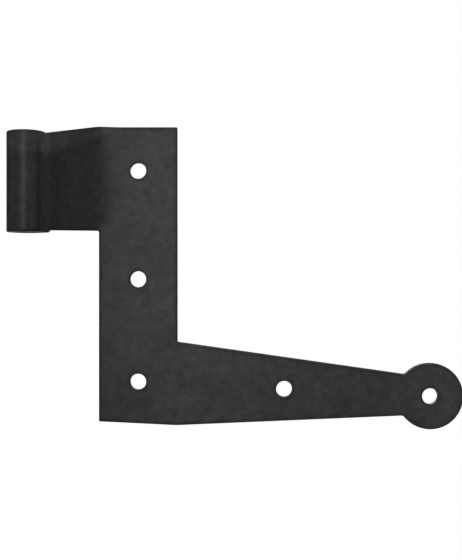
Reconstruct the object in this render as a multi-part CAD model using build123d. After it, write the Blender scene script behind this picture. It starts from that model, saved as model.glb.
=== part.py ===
from build123d import *

import math
import os

# L hinge leaf: one blank of steel plate with its tab bent back and rolled into an eye.
# Millimetres and degrees. +X is along the arm, +Z is up and the front faces -Y.
# The origin is the middle of the eye's bore, on the axis that the leaf turns about.

INCH = 25.4

# Sheet
sheet = INCH / 8
edge_round = 0.5

# Leg, the upright strap
leg_width = 1.25 * INCH
upper_hole_drop = 17.6
middle_hole_drop = 61.5
corner_hole_drop = 103.0
foot_depth = 16.8
foot_round = 40.0

# Arm, the tapered strap with a round pad at its end
arm_droop = 2.84
arm_hole_spacing = 59.15
arm_half_at_corner_hole = 18.3
arm_half_at_pad = 7.4
pad_radius = 13.4
neck_round = 1.5

# Screw holes, for 1/4 in screws
screw_hole = 6.5
screw_hole_break = 0.3

# Tab, a little proud of the leg's top, with a lower edge that rises from the bend to the eye
leg_top_drop = 0.25
leg_top_blend = 8.0
tab_drop_at_bend = 0.1
tab_rise_at_eye = 0.9
tab_notch_round = 1.0
bend_inset = 1.2
bend_inner_radius = 3.5

# Rolled eye, for a 3/8 in pin
bore = 9.9
eye_length = 42.0
eye_to_leg = 32.5
eye_behind_front = 14.0
shoulder_past_eye = 0.5
shoulder_run = 1.0
shoulder_round = 0.8
seam_gap = 0.12

# Places that follow from the sizes above
leg_left = eye_to_leg
leg_right = leg_left + leg_width
leg_middle = leg_left + leg_width / 2
eye_top = eye_length / 2
eye_bottom = -eye_length / 2
leg_top = eye_top - leg_top_drop
front = -eye_behind_front
back = front + sheet
corner_hole_height = leg_top - corner_hole_drop
pad_distance = 2 * arm_hole_spacing
eye_inner_radius = bore / 2
eye_outer_radius = eye_inner_radius + sheet
bend_outer_radius = bend_inner_radius + sheet
bend_start = leg_left + bend_inset


def on_arm(along, across):
    """Point of the front view, from the corner hole: along the arm's axis and up across it."""
    droop = math.radians(arm_droop)
    x = leg_middle + along * math.cos(droop) + across * math.sin(droop)
    z = corner_hole_height - along * math.sin(droop) + across * math.cos(droop)
    return (x, z)


def crossing(first, second, x):
    """Point at the given x on the line through two points."""
    share = (x - first[0]) / (second[0] - first[0])
    return (x, first[1] + share * (second[1] - first[1]))


def web_angle():
    """Angle between the plate and the web that is tangent to both the bend and the bore."""
    across = bend_start
    behind = eye_behind_front - bend_outer_radius
    lean = math.atan2(behind, across)
    swing = math.asin((eye_inner_radius + bend_outer_radius) / math.hypot(across, behind))
    return math.degrees(lean + swing)


def folded_section(plate_end):
    """The strip's section seen from above: plate, bend, web and the eye curled round to the front."""
    eye_centre = (0, 0)
    bend_centre = (bend_start, front + bend_outer_radius)
    # Both arcs start or end where the web is tangent to them
    bend_end_angle = -90 - web_angle()
    eye_start_angle = 90 - web_angle()
    # The outer wall would meet the web's front face here, and the tip stops a seam gap short of it
    meeting_angle = math.degrees(math.acos(eye_inner_radius / eye_outer_radius))
    gap_angle = math.degrees(seam_gap / (eye_outer_radius * math.sin(math.radians(meeting_angle))))
    curl = 360 - meeting_angle - gap_angle
    tip_angle = eye_start_angle + curl
    with BuildSketch() as section:
        with BuildLine():
            Line((plate_end, back), (plate_end, front))
            Line((plate_end, front), (bend_start, front))
            bend_front = CenterArc(bend_centre, bend_outer_radius, -90, -web_angle())
            bore_wall = CenterArc(eye_centre, eye_inner_radius, eye_start_angle, curl)
            Line(bend_front @ 1, bore_wall @ 0)
            eye_wall = CenterArc(eye_centre, eye_outer_radius, tip_angle, -curl)
            Line(bore_wall @ 1, eye_wall @ 0)
            bend_back = CenterArc(bend_centre, bend_inner_radius, bend_end_angle, web_angle())
            Line(eye_wall @ 1, bend_back @ 0)
            Line((bend_start, back), (plate_end, back))
        make_face()
    return section.sketch


def blank_outline():
    """Front view of the leaf: tab, leg with its slanting foot, tapered arm and round pad."""
    taper = (arm_half_at_corner_hole - arm_half_at_pad) / pad_distance
    foot_corner = on_arm((arm_half_at_corner_hole - foot_depth) / taper, -foot_depth)
    arm_top_start = on_arm(0, arm_half_at_corner_hole)
    arm_top_end = on_arm(pad_distance, arm_half_at_pad)
    inner_corner = crossing(arm_top_start, arm_top_end, leg_right)
    foot_left = crossing(on_arm(0, -foot_depth), foot_corner, leg_left)
    past_eye = -eye_outer_radius - sheet
    notch = (leg_left, eye_bottom - tab_drop_at_bend)
    shoulder_foot = (eye_outer_radius + shoulder_past_eye, eye_bottom)
    shoulder_head = (shoulder_foot[0] + shoulder_run, eye_bottom + tab_rise_at_eye)
    with BuildSketch() as outline:
        with BuildLine():
            Polyline(
                (past_eye, eye_top),
                (leg_left, eye_top),
                (leg_left + leg_top_blend, leg_top),
                (leg_right, leg_top),
                inner_corner,
                arm_top_end,
                on_arm(pad_distance, -arm_half_at_pad),
                foot_corner,
                foot_left,
                notch,
                shoulder_head,
                shoulder_foot,
                (past_eye, eye_bottom),
                close=True,
            )
        make_face()
        with Locations(on_arm(pad_distance, 0)):
            Circle(pad_radius)
        necks = outline.vertices().sort_by_distance(on_arm(pad_distance - pad_radius, 0))[:2]
        fillet(necks, neck_round)
        fillet(outline.vertices().sort_by_distance(foot_corner)[0], foot_round)
        fillet(outline.vertices().sort_by_distance(notch)[0], tab_notch_round)
        for corner in (shoulder_head, shoulder_foot):
            fillet(outline.vertices().sort_by_distance(corner)[0], shoulder_round)
    return outline.sketch


def screw_holes():
    """Centres of the five screw holes in the front view: three down the leg, two more along the arm."""
    leg_holes = [(leg_middle, leg_top - drop) for drop in (upper_hole_drop, middle_hole_drop, corner_hole_drop)]
    arm_holes = [on_arm(arm_hole_spacing * count, 0) for count in (1, 2)]
    return leg_holes + arm_holes


def hinge_leaf():
    """The folded strip, cut to the blank's outline, with rounded edges and punched screw holes."""
    outline = blank_outline()
    box = outline.bounding_box()
    plate_end = box.max.X + sheet
    section = Pos(0, 0, box.min.Y) * folded_section(plate_end)
    folded = extrude(section, amount=box.size.Y)
    depth = eye_behind_front + 2 * eye_outer_radius
    cutter = extrude(Plane.XZ * outline, amount=depth, both=True)
    leaf = folded & cutter
    # The tip of the roll keeps its two sharp corners, which close the seam
    tip_corners = leaf.edges().filter_by(Axis.Z).sort_by_distance((eye_outer_radius, 0, 0))[:2]
    leaf = fillet(leaf.edges() - tip_corners, edge_round)
    punch = Rot(90, 0, 0) * Cylinder(screw_hole / 2, 2 * sheet)
    for x, z in screw_holes():
        leaf -= Pos(x, (front + back) / 2, z) * punch
    circles = leaf.edges().filter_by(GeomType.CIRCLE)
    rims = circles.filter_by(lambda edge: math.isclose(edge.radius, screw_hole / 2))
    return chamfer(rims, screw_hole_break)


leaf = hinge_leaf()
os.makedirs("parts", exist_ok=True)
export_step(leaf, "parts/hinge_leaf.step")
print("solids", len(leaf.solids()), "volume", round(leaf.volume, 1), "web angle", round(web_angle(), 2))
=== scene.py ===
import math

import bpy
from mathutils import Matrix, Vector


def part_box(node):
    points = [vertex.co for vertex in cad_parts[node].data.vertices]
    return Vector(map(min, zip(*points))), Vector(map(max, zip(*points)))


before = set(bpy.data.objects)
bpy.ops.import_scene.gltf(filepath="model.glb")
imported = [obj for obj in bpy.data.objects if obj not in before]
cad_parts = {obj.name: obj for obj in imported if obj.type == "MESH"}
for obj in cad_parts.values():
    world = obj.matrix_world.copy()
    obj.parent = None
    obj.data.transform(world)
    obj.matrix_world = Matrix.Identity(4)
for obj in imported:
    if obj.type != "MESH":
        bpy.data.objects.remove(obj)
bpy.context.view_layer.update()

# L hinge leaf in black satin powder coat, in a white studio. Metres and degrees, in the frame of the part.

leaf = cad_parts["hinge_leaf"]
low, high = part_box("hinge_leaf")
plate_front = low.y

# Camera, level and square to the plate
camera_across = 0.08594
camera_up = -0.04107
camera_to_plate = 0.3638
camera_tilt = 90.0
focal_length = 57.86
sensor_size = 36.0

# Lights: a tall key in front, a large fill above and to the right, a lamp behind and an even surround
lit_point = Vector((0.06, plate_front, -0.03))
key_centre = Vector((-0.11, -1.2, 0.35))
key_width = 0.55
key_height = 1.2
key_power = 4.8
fill_centre = Vector((0.4, -0.55, 1.15))
fill_size = 1.6
fill_power = 12.0
back_centre = Vector((0.25, 1.2, 0.6))
back_size = 1.2
back_power = 12.0
ambient = 0.45
white = (1.0, 1.0, 1.0, 1.0)

# Floor, well under the leaf, which is held and doesn't stand on it
floor_drop = 0.15
floor_size = 40.0
floor_colour = (0.88, 0.88, 0.88, 1.0)
shadow_reach = 0.16
plain_from = 0.26

# Powder coat, clouded, mottled and finely dimpled by noise that lies mostly between a low and a high
coat_colour = (0.0242, 0.0242, 0.0246, 1.0)
coat_edge = (0.45, 0.45, 0.45, 1.0)
coat_metallic = 0.5
coat_specular = 0.0
coat_roughness = 0.29
roughness_swing = 0.08
cloud_scale = 60.0
cloud_detail = 2.0
cloud_spread = 0.09
mottle_scale = 330.0
mottle_detail = 4.0
mottle_roughness = 0.6
mottle_spread = 0.26
peel_scale = 800.0
peel_detail = 3.0
peel_depth = 0.00001
plain_noise_roughness = 0.5
noise_low = 0.25
noise_middle = 0.5
noise_high = 0.75

# Rims of the plate and its holes, darkened by painted shade of their rounded edges, and worn where the
# mottling is palest
rim_reach = 0.002
rim_darkening = 0.9
rim_open_from = 0.4
rim_open_to = 0.9
wear_from = 0.35
wear_to = 0.6
worn_mottle_from = 0.5
worn_mottle_to = 0.7
wear_amount = 0.25

# Painted light in the inner corner beside the seam, which lifts the shade there, though less of it near the
# top
seam_reach = 0.012
seam_least_open = 0.01
seam_power = -1.2
seam_most = 4.5
seam_top_drop = 1.3

# Soft shoulder where the tab, centred on the origin, bends out of the leg, in the tab's rows only
bend_line = 0.0325
shoulder_reach = 0.0125
shoulder_fall_off = 1.7
shoulder_peak = 0.001
shoulder_behind = 0.0015
shoulder_tilt = 0.2
tab_foot = -high.z
shoulder_fade = 0.004
top_ease_from = 0.006
top_ease_to = 0.018
top_ease = 0.5

# Painted light from above: a paler band along the tab's top edge, palest half way between the eye and the
# bend
band_from = 0.0108
band_to = 0.0145
band_rise_from = 0.0135
band_slope = 0.25
band_lightening = 0.4
band_middle_from = 0.003
band_middle_rise = 0.006
band_middle_to = 0.024
band_middle_fall = 0.012
band_middle_lightening = 0.45

# Painted light and shade in the coat's tone: paler outward on the leg, on the pad and the eye, paler on the
# eye's side that faces right, darker on the web
plain_tone = 0.91
leg_outer = 0.064
outer_lightening = 0.27
pad_from = 0.140
pad_to = 0.165
pad_lightening = 0.16
eye_middle = 0.001
eye_fade = 0.004
eye_lightening = 0.04
side_end = 0.011
side_fade = 0.002
side_from = 0.65
side_to = 0.95
side_lightening = 0.35
web_from = 0.013
web_to = 0.019
web_fade = 0.003
web_dimming = 0.1


class Nodes:
    """Short calls for building one node tree."""

    def __init__(self, tree):
        self.tree = tree
        self.tree.nodes.clear()

    def add(self, kind, **settings):
        """Adds a node, and sets its properties by name and its input sockets by their shown name."""
        node = self.tree.nodes.new(kind)
        for name, value in settings.items():
            if hasattr(node, name):
                setattr(node, name, value)
            else:
                node.inputs[name.replace("_", " ")].default_value = value
        return node

    def link(self, output, socket):
        """Joins an output socket to an input socket."""
        self.tree.links.new(output, socket)

    def math(self, operation, first, second):
        """Result of a Math node on two inputs, each of them a socket or a plain number."""
        node = self.add("ShaderNodeMath", operation=operation)
        for index, value in enumerate((first, second)):
            if isinstance(value, (int, float)):
                node.inputs[index].default_value = value
            else:
                self.link(value, node.inputs[index])
        return node.outputs[0]

    def times(self, *factors):
        """Product of sockets and plain numbers."""
        product = factors[0]
        for factor in factors[1:]:
            product = self.math("MULTIPLY", product, factor)
        return product

    def ramp(self, value, start, end, shape="SMOOTHSTEP"):
        """Rise from 0 to 1 as a value goes from one end of a range to the other."""
        step = self.add("ShaderNodeMapRange", interpolation_type=shape)
        step.inputs["From Min"].default_value = start
        step.inputs["From Max"].default_value = end
        self.link(value, step.inputs["Value"])
        return step.outputs["Result"]

    def factor_round_one(self, value, amount):
        """Factor that a noise moves up and down around 1, by no more than an amount."""
        step = self.add("ShaderNodeMapRange")
        step.inputs["From Min"].default_value = noise_low
        step.inputs["From Max"].default_value = noise_high
        step.inputs["To Min"].default_value = 1.0 - amount
        step.inputs["To Max"].default_value = 1.0 + amount
        self.link(value, step.inputs["Value"])
        return step.outputs["Result"]

    def noise(self, place, scale, detail, roughness=plain_noise_roughness):
        """Noise from 0 to 1 in the part's own coordinates."""
        texture = self.add("ShaderNodeTexNoise", Scale=scale, Detail=detail, Roughness=roughness)
        self.link(place, texture.inputs["Vector"])
        return texture.outputs["Fac"]

    def occlusion(self, distance, inside=False):
        """Share of open space round a point of the leaf, outside it or within its metal."""
        node = self.add("ShaderNodeAmbientOcclusion", inside=inside, only_local=True, Distance=distance)
        return node.outputs["AO"]

    def apart(self, vector):
        """Components of a vector by their letters."""
        split = self.add("ShaderNodeSeparateXYZ")
        self.link(vector, split.inputs[0])
        return split.outputs

    def seen_directly(self):
        """Light path mask of the rays that show the background: camera, glossy and transmission."""
        path = self.add("ShaderNodeLightPath").outputs
        either = self.math("MAXIMUM", path["Is Camera Ray"], path["Is Glossy Ray"])
        return self.math("MAXIMUM", either, path["Is Transmission Ray"])

    def mixed(self, share, first, second):
        """Shader that goes over from one node's shader to another's by a share from 0 to 1."""
        mix = self.add("ShaderNodeMixShader")
        self.link(share, mix.inputs[0])
        self.link(first.outputs[0], mix.inputs[1])
        self.link(second.outputs[0], mix.inputs[2])
        return mix


def new_material(name):
    """An empty material and its nodes."""
    material = bpy.data.materials.new(name)
    material.use_nodes = True
    return material, Nodes(material.node_tree)


def soft_shoulder(nodes, across, up, normal):
    """The face's normal, leaned over near the bend so that the leg rolls softly into the tab."""
    rise = nodes.ramp(across, bend_line + shoulder_reach, bend_line + shoulder_peak, "LINEAR")
    rise = nodes.math("POWER", rise, shoulder_fall_off)
    fall = nodes.ramp(across, bend_line - shoulder_behind, bend_line + shoulder_peak)
    rows = nodes.ramp(up, tab_foot, tab_foot + shoulder_fade)
    eased = nodes.times(nodes.ramp(up, top_ease_from, top_ease_to), top_ease)
    rows = nodes.math("SUBTRACT", rows, eased)
    aside = nodes.add("ShaderNodeCombineXYZ")
    nodes.link(nodes.times(rise, fall, rows, -shoulder_tilt), aside.inputs["X"])
    leaned = nodes.add("ShaderNodeVectorMath", operation="ADD")
    nodes.link(normal, leaned.inputs[0])
    nodes.link(aside.outputs[0], leaned.inputs[1])
    unit = nodes.add("ShaderNodeVectorMath", operation="NORMALIZE")
    nodes.link(leaned.outputs[0], unit.inputs[0])
    return unit.outputs[0]


def painted_top_light(nodes, across, up):
    """Factor of painted light along the tab's top edge, a paler band which narrows towards the bend."""
    on_tab = nodes.ramp(across, bend_line + shoulder_reach, bend_line)
    past = nodes.math("MAXIMUM", nodes.math("SUBTRACT", across, band_rise_from), 0.0)
    level = nodes.math("SUBTRACT", up, nodes.times(past, band_slope))
    on_band = nodes.ramp(level, band_from, band_to)
    past_eye = nodes.ramp(across, band_middle_from, band_middle_from + band_middle_rise)
    before_bend = nodes.ramp(across, band_middle_to, band_middle_to - band_middle_fall)
    middle = nodes.times(past_eye, before_bend, band_middle_lightening)
    paler = nodes.math("ADD", middle, band_lightening)
    return nodes.math("ADD", nodes.times(on_tab, on_band, paler), 1.0)


def painted_light_and_shade(nodes, across, facing):
    """Factor of painted light and shade in the coat's tone, from the eye to the pad."""
    outer = nodes.times(nodes.ramp(across, bend_line, leg_outer, "LINEAR"), outer_lightening)
    pad = nodes.times(nodes.ramp(across, pad_from, pad_to), pad_lightening)
    eye = nodes.times(nodes.ramp(across, eye_middle + eye_fade, eye_middle), eye_lightening)
    on_side = nodes.ramp(facing, side_from, side_to)
    on_eye = nodes.ramp(across, side_end + side_fade, side_end)
    side = nodes.times(on_side, on_eye, side_lightening)
    past_seam = nodes.ramp(across, web_from, web_to)
    before_bend = nodes.ramp(across, bend_line + shoulder_behind, bend_line - web_fade)
    web = nodes.times(past_seam, before_bend, web_dimming)
    far = nodes.math("ADD", outer, pad)
    near = nodes.math("SUBTRACT", nodes.math("ADD", eye, side), web)
    return nodes.math("ADD", nodes.math("ADD", far, near), plain_tone)


def black_coat():
    """Satin black powder coat: clouding, mottling, orange peel, painted rim shade, painted light and shade,
    and slight wear.
    """
    material, nodes = new_material("black_coat")
    place = nodes.add("ShaderNodeTexCoord").outputs["Object"]
    normal = nodes.add("ShaderNodeNewGeometry").outputs["Normal"]
    across = nodes.apart(place)["X"]
    up = nodes.apart(place)["Z"]
    facing = nodes.apart(normal)["X"]

    clouds = nodes.noise(place, cloud_scale, cloud_detail)
    mottle = nodes.noise(place, mottle_scale, mottle_detail, mottle_roughness)
    cloudy = nodes.factor_round_one(clouds, cloud_spread)
    mottled = nodes.factor_round_one(mottle, mottle_spread)

    # Painted rim shade is found from inside the metal, and fades out in the corner beside the seam
    corner = nodes.occlusion(seam_reach)
    rim = nodes.math("SUBTRACT", 1.0, nodes.occlusion(rim_reach, inside=True))
    rim = nodes.times(rim, nodes.ramp(corner, rim_open_from, rim_open_to))
    painted_rim_shade = nodes.math("SUBTRACT", 1.0, nodes.times(rim, rim_darkening))
    bare = nodes.ramp(mottle, worn_mottle_from, worn_mottle_to)
    worn = nodes.math("ADD", nodes.times(nodes.ramp(rim, wear_from, wear_to), bare, wear_amount), 1.0)

    # Painted light that lifts the shade in the corner beside the seam
    painted_corner_light = nodes.math("POWER", nodes.math("MAXIMUM", corner, seam_least_open), seam_power)
    less_on_top = nodes.times(nodes.ramp(up, band_from, band_to), seam_top_drop)
    painted_corner_light = nodes.math("MINIMUM", painted_corner_light, nodes.math("SUBTRACT", seam_most, less_on_top))

    shade = nodes.times(cloudy, mottled, painted_rim_shade, worn, painted_corner_light)
    # Painted light along the tab's top, and painted light and shade from the eye to the pad
    shade = nodes.times(shade, painted_top_light(nodes, across, up), painted_light_and_shade(nodes, across, facing))
    colour = nodes.add("ShaderNodeVectorMath", operation="SCALE")
    colour.inputs[0].default_value = coat_colour[:3]
    nodes.link(shade, colour.inputs["Scale"])

    peel = nodes.add("ShaderNodeBump", Distance=peel_depth)
    nodes.link(nodes.noise(place, peel_scale, peel_detail), peel.inputs["Height"])
    nodes.link(soft_shoulder(nodes, across, up, normal), peel.inputs["Normal"])

    shader = nodes.add("ShaderNodeBsdfPrincipled", Metallic=coat_metallic, Specular_IOR_Level=coat_specular)
    shader.inputs["Specular Tint"].default_value = coat_edge
    nodes.link(colour.outputs[0], shader.inputs["Base Color"])
    uneven = nodes.times(nodes.math("SUBTRACT", mottle, noise_middle), roughness_swing)
    nodes.link(nodes.math("ADD", uneven, coat_roughness), shader.inputs["Roughness"])
    nodes.link(peel.outputs["Normal"], shader.inputs["Normal"])
    output = nodes.add("ShaderNodeOutputMaterial")
    nodes.link(shader.outputs["BSDF"], output.inputs["Surface"])
    return material


def make_world():
    """Even light all round, and plain white wherever the background is seen or reflected."""
    world = bpy.data.worlds.new("studio")
    world.use_nodes = True
    bpy.context.scene.world = world
    nodes = Nodes(world.node_tree)
    even = nodes.add("ShaderNodeBackground", Color=white, Strength=ambient)
    plain = nodes.add("ShaderNodeBackground", Color=white)
    surround = nodes.mixed(nodes.seen_directly(), even, plain)
    output = nodes.add("ShaderNodeOutputWorld")
    nodes.link(surround.outputs[0], output.inputs["Surface"])


def make_floor():
    """Pale floor that takes the leaf's shadow and runs out to plain white further off."""
    middle = (low + high) / 2
    bpy.ops.mesh.primitive_plane_add(size=floor_size, location=(middle.x, middle.y, low.z - floor_drop))
    floor = bpy.context.object
    floor.name = "floor"
    material, nodes = new_material("floor")
    matt = nodes.add("ShaderNodeBsdfDiffuse", Color=floor_colour)
    plain = nodes.add("ShaderNodeEmission", Color=white)
    place = nodes.add("ShaderNodeTexCoord")
    away = nodes.add("ShaderNodeVectorMath", operation="LENGTH")
    nodes.link(place.outputs["Object"], away.inputs[0])
    far_off = nodes.ramp(away.outputs["Value"], shadow_reach, plain_from)
    surface = nodes.mixed(nodes.times(far_off, nodes.seen_directly()), matt, plain)
    output = nodes.add("ShaderNodeOutputMaterial")
    nodes.link(surface.outputs[0], output.inputs["Surface"])
    floor.data.materials.append(material)


def softbox(name, centre, width, height, power):
    """Rectangular lamp that faces the lit point."""
    lamp = bpy.data.lights.new(name, "AREA")
    lamp.shape = "RECTANGLE"
    lamp.size = width
    lamp.size_y = height
    lamp.energy = power
    holder = bpy.data.objects.new(name, lamp)
    holder.location = centre
    holder.rotation_euler = (lit_point - centre).to_track_quat("-Z", "Y").to_euler()
    bpy.context.scene.collection.objects.link(holder)


def make_camera():
    """Level camera, square to the plate."""
    data = bpy.data.cameras.new("camera")
    data.sensor_width = sensor_size
    data.lens = focal_length
    camera = bpy.data.objects.new("camera", data)
    camera.location = (camera_across, plate_front - camera_to_plate, camera_up)
    camera.rotation_euler = (math.radians(camera_tilt), 0, 0)
    bpy.context.scene.collection.objects.link(camera)
    bpy.context.scene.camera = camera


coat = black_coat()
for slot in leaf.material_slots:
    slot.material = coat
make_world()
make_floor()
softbox("key_light", key_centre, key_width, key_height, key_power)
softbox("fill_light", fill_centre, fill_size, fill_size, fill_power)
softbox("back_light", back_centre, back_size, back_size, back_power)
make_camera()
bpy.context.scene.view_settings.view_transform = "Standard"
